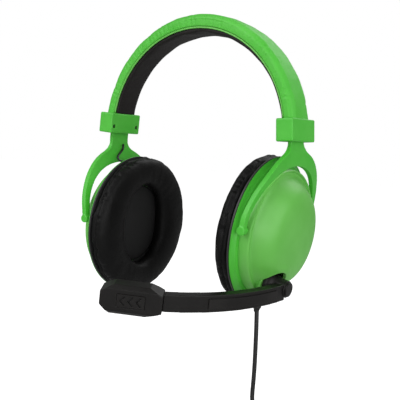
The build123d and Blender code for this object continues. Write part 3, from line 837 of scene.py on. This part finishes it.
# Cups -----------------------------------------------------------------------------------
@dataclass
class EarCushion:
    """One ear cushion: a sewn ring of leatherette over foam, on its base strip."""

    paint: Paintbox
    place: SideFrame
    outer: float = 53.6
    hole: Pair = (23.4, 31.0)
    base: float = 1.3
    depth: float = 13.2
    strip: float = 4.6
    steps: int = 144
    cap_mm: float = 2.2
    cell_mm: float = 4.0
    pressure: float = 4.0
    stiffness: float = 12.0
    sim_frames: int = 20
    seam_depth: float = 1.5
    seam_width: float = 0.9
    pucker_count: int = 90
    seed: int = 5

    def hole_radius(self, turn: float) -> float:
        """Return the opening's radius at an angle round the cup, in millimetres."""
        return 1 / math.hypot(math.cos(turn) / self.hole[0], math.sin(turn) / self.hole[1])

    def profile(self, turn: float) -> list[Pair]:
        """Return the ring's section at an angle, as (radius, distance inward) in millimetres.

        Args:
            turn: the angle round the cup, from its back edge.

        Returns:
            The closed section, starting at the outer foot.
        """
        inner = self.hole_radius(turn)
        middle, half = (self.outer + inner) / 2, (self.outer - inner) / 2
        points = [(self.outer - 0.4, self.base), (self.outer, self.base + 2.0)]
        for step in range(25):
            bend = math.pi * step / 24
            out, high = math.cos(bend), math.sin(bend)
            radius = middle + half * math.copysign(abs(out) ** 0.72, out)
            points.append((radius, self.base + self.strip + (self.depth - self.strip) * high ** 0.72))
        points += [(inner, self.base + 2.0), (inner + 0.5, self.base)]
        return points

    def seam(self, piece: bpy.types.Object) -> None:
        """Pull the seam between base strip and cushion tight, and gather puckers along it."""
        dice = random.Random(self.seed + self.place.side.sign)
        puckers = [(dice.uniform(0, math.tau), dice.uniform(0.4, 1.3), dice.uniform(0.012, 0.035),
                    dice.uniform(3.0, 7.0)) for _ in range(self.pucker_count)]
        back = self.place.cup.inverted()
        for vertex in piece.data.vertices:
            local = back @ vertex.co
            radius, turn = math.hypot(local.y, local.z), math.atan2(local.z, local.y) % math.tau
            inward = -local.x
            inner = self.hole_radius(turn)
            outside = clamp((radius - (self.outer + inner) / 2) / 6)
            above = inward - self.base - self.strip
            pull = self.seam_depth * math.exp(-(above / self.seam_width) ** 2) * outside
            for spot, depth, wide, reach in puckers:
                off = (turn - spot + math.pi) % math.tau - math.pi
                if abs(off) < 3 * wide and 0 < above < reach:
                    pull += depth * math.exp(-(off / wide) ** 2) * (1 - above / reach) * outside
            swell = noise.noise(Vector((local.y, local.z, local.x * 0.5)) * 0.07) * 0.5
            crease = abs(noise.noise(Vector((turn * 5, radius * 0.03, 2.0)))) * 0.35
            scale = (radius - pull) / radius
            local.y *= scale
            local.z *= scale
            if above > 1.5:
                local.x += crease - swell * 0.6
            vertex.co = self.place.cup @ local

    def inflate(self, piece: bpy.types.Object) -> None:
        """Blow the cushion up as cloth, with each point's movement capped."""
        skin = piece.modifiers.new("skin", "REMESH")
        skin.mode = "VOXEL"
        skin.voxel_size = self.cell_mm * MM
        apply_modifiers(piece)
        before = node_points(piece)
        cloth = piece.modifiers.new("cloth", "CLOTH")
        cloth.settings.use_pressure = True
        cloth.settings.uniform_pressure_force = self.pressure
        cloth.settings.effector_weights.gravity = 0.0
        cloth.settings.tension_stiffness = self.stiffness
        cloth.settings.compression_stiffness = self.stiffness
        cloth.point_cache.frame_start = 1
        cloth.point_cache.frame_end = self.sim_frames
        for count in range(1, self.sim_frames + 1):
            bpy.context.scene.frame_set(count)
        apply_modifiers(piece)
        bpy.context.scene.frame_set(1)
        moved = node_points(piece) - before
        reach = np.linalg.norm(moved, axis=1, keepdims=True)
        limit = self.cap_mm * MM
        after = before + moved * np.minimum(1.0, limit / np.maximum(reach, 1e-9))
        piece.data.vertices.foreach_set("co", after.ravel())

    def build(self) -> None:
        """Build, inflate and sew the cushion."""
        side = self.place.side
        rings = []
        for step in range(self.steps):
            turn = math.tau * step / self.steps
            rings.append([self.place.cup @ Vector((-inward, radius * math.cos(turn), radius * math.sin(turn)))
                          for radius, inward in self.profile(turn)])
        cushion = loft(f"{side.value}_cushion", rings, closed=True)
        self.inflate(cushion)
        cushion.modifiers.new("relax", "SMOOTH").iterations = 2
        fine = cushion.modifiers.new("fine", "SUBSURF")
        fine.levels = fine.render_levels = 2
        apply_modifiers(cushion)
        self.seam(cushion)
        cushion.data.shade_smooth()
        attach(cushion, f"{side.value}_cup")
        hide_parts(f"{side.value}_ear_pad")
        self.paint.dress(cushion, "pad_leather")
        log.info("cushion: %s, %d faces", cushion.name, len(cushion.data.polygons))


@dataclass
class CupShell:
    """One cup's shell, whose dome is flatter at its middle and fuller at its shoulder."""

    paint: Paintbox
    place: SideFrame
    nodes: dict[str, bpy.types.Object]
    shoulder: float = 31.0
    spread: float = 5.5
    fullness: float = 1.0
    flatness: float = 1.4
    lowering: float = 0.8
    flat_reach: float = 20.0
    dome_foot: float = 9.0
    dome_edge: float = 41.0
    dome_fade: float = 5.0
    hub: Pair = (-17.0, -31.9)
    clear: Pair = (11.6, 17.0)

    def build(self) -> None:
        """Mould the shell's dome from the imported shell."""
        side = self.place.side
        node = self.nodes[f"{side.value}_shell"]
        shell = linked(f"{side.value}_shell_skin", node.data.copy())
        back = self.place.cup.inverted()
        for vertex in shell.data.vertices:
            local = back @ vertex.co
            radius = math.hypot(local.y, local.z)
            near = math.hypot(local.y - self.hub[0], local.z - self.hub[1])
            share = clamp((near - self.clear[0]) / (self.clear[1] - self.clear[0]))
            rise = self.fullness * math.exp(-((radius - self.shoulder) / self.spread) ** 2)
            rise -= self.flatness * math.exp(-(radius / self.flat_reach) ** 4) + self.lowering
            rise *= clamp((self.dome_edge - radius) / self.dome_fade)
            if local.x > self.dome_foot:
                local.x += rise * eased(share)
                vertex.co = self.place.cup @ local
        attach(shell, f"{side.value}_cup")
        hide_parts(f"{side.value}_shell")
        self.paint.dress(shell, "dome_plastic")
        log.info("shell: %s, %d faces", shell.name, len(shell.data.polygons))


@dataclass
class EarCloth:
    """The thin cloth over the loudspeaker, bulging slightly at its middle."""

    paint: Paintbox
    place: SideFrame
    radius: float = 30.6
    bulge: float = 1.0

    def build(self) -> None:
        """Stretch the cloth in the cushion's opening."""
        side = self.place.side
        profile = [(0.01, -1.1 - self.bulge)]
        for step in range(1, 17):
            share = step / 16
            profile.append((self.radius * share, -1.1 - self.bulge * (1 - share ** 2)))
        profile += [(self.radius, -0.85), (0.01, -0.85)]
        cloth = lathe(f"{side.value}_ear_cloth", profile, self.place.cup, 96)
        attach(cloth, f"{side.value}_cup")
        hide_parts(f"{side.value}_scrim")
        self.paint.dress(cloth, "scrim_cloth")
        log.info("cloth: %s", cloth.name)


@dataclass
class Yoke:
    """One forked yoke with rounded edges, and the wire that crosses it to the cup."""

    paint: Paintbox
    place: SideFrame
    nodes: dict[str, bpy.types.Object]
    wire_radius: float = 0.85
    wire_line: tuple[Triple, ...] = ((8.1, 2.0, 53.5), (8.4, 2.8, 50.4), (8.2, 0.6, 48.2),
                                     (7.6, -3.4, 45.6), (6.4, -7.0, 43.2), (4.6, -6.0, 40.4),
                                     (3.4, -1.0, 40.2), (2.4, 2.8, 40.6), (1.6, 3.2, 38.1))

    def build(self) -> None:
        """Mould the yoke and lay its wire."""
        side = self.place.side
        yoke = softened(self.nodes[f"{side.value}_yoke"], f"{side.value}_yoke_skin", 0.35, 6)
        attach(yoke, f"{side.value}_slider")
        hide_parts(f"{side.value}_yoke")
        self.paint.dress(yoke, "green_plastic")
        line = [tuple(self.place.yoke @ Vector(p)) for p in self.wire_line]
        curve = tube_along(f"{side.value}_wire_line", line, self.wire_radius * MM)
        wire, _ = tube_mesh(f"{side.value}_wire", curve)
        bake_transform(wire)
        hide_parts(f"{side.value}_link_wire")
        self.paint.dress(wire, "wire_insulation")
        log.info("yoke: %s and %s", yoke.name, wire.name)


# Microphone -----------------------------------------------------------------------------
@dataclass
class Microphone:
    """The boom, a two-facet bar with an inlay, and the microphone's head."""

    paint: Paintbox
    nodes: dict[str, bpy.types.Object]

    def build(self) -> None:
        """Mould the arm, head and pivot."""
        for node, cell, passes in (("mic_arm", 0.35, 4), ("mic_head", 0.3, 3), ("mic_pivot", 0.35, 4)):
            piece = softened(self.nodes[node], f"{node}_skin", cell, passes)
            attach(piece, "mic_boom")
            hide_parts(node)
            self.paint.dress(piece, "boom_plastic")
            log.info("microphone: %s", piece.name)


# Cord -----------------------------------------------------------------------------------
@dataclass
class CordSet:
    """The cord: a hanging stretch, a stowed coil in its tie, a tail and a plug."""

    paint: Paintbox
    place: SideFrame
    diameter: float = 3.1
    route: tuple[Triple, ...] = ((61.7, -9.4, -190.2), (62.5, -10.0, -200.0), (63.2, -10.6, -212.0),
                                 (63.0, -9.6, -238.0), (61.6, -9.0, -262.0))
    coil_centre: Triple = (61.8, -9.0, -300.0)
    coil_radius: float = 17.0
    pitch: float = 3.16
    turn_points: int = 18
    plug_top: Triple = (78.8, -9.0, -331.0)
    plug_bands: Triple = (5.2, 7.9, 10.6)
    rows: tuple[tuple[int, ...], ...] = ((3, 2, 1, 0), (0, 1, 2, 3), (3, 2, 1, 0), (0, 1, 2))

    def coil_points(self) -> list[Triple]:
        """Wind the coil, row by row from the front, clockwise as the wearer's face sees it."""
        turns = [(level, row) for row, levels in enumerate(self.rows) for level in levels]
        points = []
        first = math.radians(40)
        total = len(turns) * self.turn_points
        count = total + round(first / math.tau * self.turn_points)
        for step in range(count + 1):
            whole, part = divmod(step / self.turn_points, 1.0)
            here = turns[min(int(whole), len(turns) - 1)]
            after = turns[min(int(whole) + 1, len(turns) - 1)]
            ease = eased(max(0.0, (part - 0.7) / 0.3))
            level = here[0] + (after[0] - here[0]) * ease
            row = here[1] + (after[1] - here[1]) * ease
            radius = self.coil_radius + (level - 1.5) * self.pitch
            turn = first - math.tau * step / self.turn_points
            points.append((self.coil_centre[0] + radius * math.cos(turn),
                           self.coil_centre[1] + (row - 1.5) * self.pitch,
                           self.coil_centre[2] + radius * math.sin(turn)))
        return points

    def line(self) -> list[Triple]:
        """Return the whole cord's control points, in metres."""
        coil = self.coil_points()
        last = coil[-1]
        top = self.plug_top
        tail = [(last[0], last[1], last[2] - 6.0), (last[0] - 0.5, (last[1] + top[1]) / 2, last[2] - 13.0),
                (top[0], top[1], top[2] + 8.0), (top[0], top[1], top[2] + 3.0), top]
        return [(x * MM, y * MM, z * MM) for x, y, z in (*self.route, *coil, *tail)]

    def sleeve(self, name: str, node: str, profile: Sequence[Pair], slot: str) -> bpy.types.Object:
        """Turn a piece that stands on the cord and replaces a CAD node.

        Args:
            name: the piece's name.
            node: the CAD node, whose lowest point is where the profile starts.
            profile: (radius, height above the start) in millimetres.
            slot: the finish.

        Returns:
            The piece.
        """
        low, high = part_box(node)
        foot = Vector(((low.x + high.x) / 2, (low.y + high.y) / 2, low.z))
        piece = lathe(name, profile, Matrix.Translation(foot) @ UPRIGHT, 40)
        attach(piece, "left_cup")
        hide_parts(node)
        self.paint.dress(piece, slot)
        return piece

    def build_plug(self) -> list[bpy.types.Object]:
        """Mould the plug's ribbed body and turn its four-pole pin."""
        body = [(0.01, 0.0), (3.1, 0.0), (3.5, 0.5), (3.6, 1.2), (3.6, 7.0)]
        for rib in range(6):
            foot = 7.0 + rib * 1.7
            body += [(3.6, foot + 0.2), (3.25, foot + 0.5), (3.25, foot + 1.1), (3.6, foot + 1.4)]
        body += [(3.6, 18.0), (3.2, 19.4), (2.4, 20.6), (2.1, 22.0), (0.01, 22.0)]
        pin = [(0.01, 0.0), (0.6, 0.1), (1.5, 1.3), (1.72, 2.2), (1.3, 3.1), (1.55, 3.5), (1.75, 3.9)]
        for band in self.plug_bands:
            pin += [(1.75, band), (1.62, band + 0.1), (1.62, band + 0.7), (1.75, band + 0.8)]
        pin += [(1.75, 14.0), (0.01, 14.0)]
        made = [self.sleeve("plug_sleeve", "plug_body", body, "plug_plastic"),
                self.sleeve("plug_tip", "plug_pin", pin, "plug_metal")]
        low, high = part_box("plug_pin")
        for count, band in enumerate(self.plug_bands):
            foot = Vector(((low.x + high.x) / 2, (low.y + high.y) / 2, low.z + (band + 0.1) * MM))
            ring = lathe(f"plug_band_{count}", [(0.01, 0.0), (1.74, 0.0), (1.74, 0.6), (0.01, 0.6)],
                         Matrix.Translation(foot) @ UPRIGHT, 32)
            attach(ring, "left_cup")
            self.paint.dress(ring, "plug_plastic")
            made.append(ring)
        return made

    def build_relief(self) -> bpy.types.Object:
        """Mould the flanged strain relief, set along the cup's own upright."""
        frame = self.place.cup.to_3x3().normalized().to_4x4()
        exit_point = Vector(self.route[0]) * MM
        profile = [(0.01, -3.0), (1.75, -3.0), (2.0, -2.2), (1.9, -1.7), (2.2, -1.2), (2.2, -0.6),
                   (2.75, -0.1), (2.9, 0.4), (2.9, 2.2), (2.6, 2.6), (2.2, 2.8), (2.2, 11.6), (0.01, 11.6)]
        relief = lathe("relief_sleeve", profile, Matrix.Translation(exit_point) @ frame @ UPRIGHT, 40)
        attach(relief, "left_cup")
        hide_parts("strain_relief")
        self.paint.dress(relief, "cord_jacket")
        return relief

    def build(self) -> None:
        plug = self.build_plug()
        relief = self.build_relief()
        log.info("strain relief: %s, %d faces", relief.name, len(relief.data.polygons))
        line = self.line()
        cord, centre = tube_mesh("cord_lead", tube_along("cord_line", line, self.diameter / 2 * MM))
        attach(cord, "left_cup")
        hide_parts("cord", "cord_coil", "cord_tail")
        self.diameter * MM
        self.paint.dress(cord, "cord_jacket")


# Studio ---------------------------------------------------------------------------------
LAMPS: dict[str, tuple[Triple, Triple, float, float]] = {
    "key": ((-0.5, -1.3, 0.9), (0.0, 0.0, -0.1), 1.5, 20.0),
    "fill": ((1.5, -0.4, 0.2), (0.0, 0.0, -0.1), 1.5, 12.0),
    "rim": ((0.2, 1.2, 1.1), (0.0, 0.0, -0.1), 1.2, 9.0),
    "bounce": ((1.0, -1.0, -0.3), (0.03, 0.0, -0.14), 1.0, 6.0),
}


@dataclass
class Studio:
    """Camera, lights, white surroundings and the pale floor."""

    eye: Triple = (0.29605, -0.43573, -0.0762)
    azimuth: float = 33.92
    elevation: float = 4.88
    roll: float = 3.1
    lens: float = 63.8
    sensor: float = 36.0
    world_light: float = 0.26
    floor_drop: float = 0.06
    floor_reach: float = 6.0
    floor_glow: float = 0.92

    def camera(self) -> None:
        """Set up the camera."""
        data = bpy.data.cameras.new("camera")
        data.lens = self.lens
        data.sensor_width = self.sensor
        data.clip_start = 0.01
        camera = bpy.data.objects.new("camera", data)
        around = Matrix.Rotation(math.radians(self.azimuth), 4, "Z")
        tip = Matrix.Rotation(math.radians(90 - self.elevation), 4, "X")
        lean = Matrix.Rotation(math.radians(self.roll), 4, "Z")
        camera.matrix_world = Matrix.Translation(self.eye) @ around @ tip @ lean
        bpy.context.scene.collection.objects.link(camera)
        bpy.context.scene.camera = camera

    def lamp(self, name: str, place: Triple, aim: Triple, size: float, power: float) -> None:
        """Hang a soft square lamp.

        Args:
            name: the lamp's name.
            place: where it hangs.
            aim: what it faces.
            size: its side, in metres.
            power: its power, in watts.
        """
        data = bpy.data.lights.new(name, "AREA")
        data.size = size
        data.energy = power
        lamp = bpy.data.objects.new(name, data)
        lamp.location = place
        lamp.rotation_euler = (Vector(aim) - Vector(place)).to_track_quat("-Z", "Y").to_euler()
        bpy.context.scene.collection.objects.link(lamp)

    def surroundings(self) -> None:
        """Make the white surroundings, dimmer in what they light than in what is seen of them."""
        world = bpy.data.worlds.new("white room")
        bpy.context.scene.world = world
        world.use_nodes = True
        tree = world.node_tree
        tree.nodes.clear()
        seen = tree.nodes.new("ShaderNodeLightPath")
        glow = tree.nodes.new("ShaderNodeBackground")
        strength = tree.nodes.new("ShaderNodeMapRange")
        strength.inputs["To Min"].default_value = self.world_light
        strength.inputs["To Max"].default_value = 1.0
        output = tree.nodes.new("ShaderNodeOutputWorld")
        tree.links.new(seen.outputs["Is Camera Ray"], strength.inputs["Value"])
        tree.links.new(strength.outputs["Result"], glow.inputs["Strength"])
        tree.links.new(glow.outputs["Background"], output.inputs["Surface"])
        glow.inputs["Color"].default_value = (1.0, 1.0, 1.0, 1.0)
        bpy.context.scene.view_settings.view_transform = "Standard"

    def floor(self) -> None:
        """Lay the pale floor under everything."""
        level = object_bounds()[0].z - self.floor_drop
        far = self.floor_reach
        corners = [(-far, -far, level), (far, -far, level), (far, far, level), (-far, far, level)]
        floor = new_mesh("floor", corners, [[0, 1, 2, 3]])
        recipe = Recipe("pale floor")
        clouds = recipe.noise(recipe.place(), 400.0, 2.0)
        pale = recipe.mix(clouds, (0.5, 0.5, 0.5), (0.54, 0.54, 0.54))
        seen = recipe.node("ShaderNodeLightPath", {}, {}, "Is Camera Ray")
        glow = recipe.mix(seen, (0.0, 0.0, 0.0), (1.0, 1.0, 1.0))
        floor.data.materials.append(recipe.finish(Base_Color=pale, Roughness=1.0, Specular_IOR_Level=0.0,
                                                  Emission_Color=glow, Emission_Strength=self.floor_glow))
        floor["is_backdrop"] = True

    def build(self) -> None:
        """Set up the whole studio."""
        self.camera()
        self.surroundings()
        self.floor()
        for name, (place, aim, size, power) in LAMPS.items():
            self.lamp(name, place, aim, size, power)
        log.info("studio: camera, four lamps and floor")


def main() -> None:
    """Build the headset and its studio in order."""
    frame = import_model()
    paint = Paintbox()
    nodes = frame["nodes"]
    for part in frame["record"]["subparts"]:
        paint.dress(nodes[part["node"]], part["material_slot"])
    Studio().build()
    CordSet(paint, SideFrame.read(frame, Side.LEFT)).build()
    Headband(paint, nodes).build()
    for side in Side:
        place = SideFrame.read(frame, side)
        Yoke(paint, place, nodes).build()
        EarCushion(paint, place).build()
        EarCloth(paint, place).build()
        CupShell(paint, place, nodes).build()
    Microphone(paint, nodes).build()


if __name__ == "__main__":
    main()
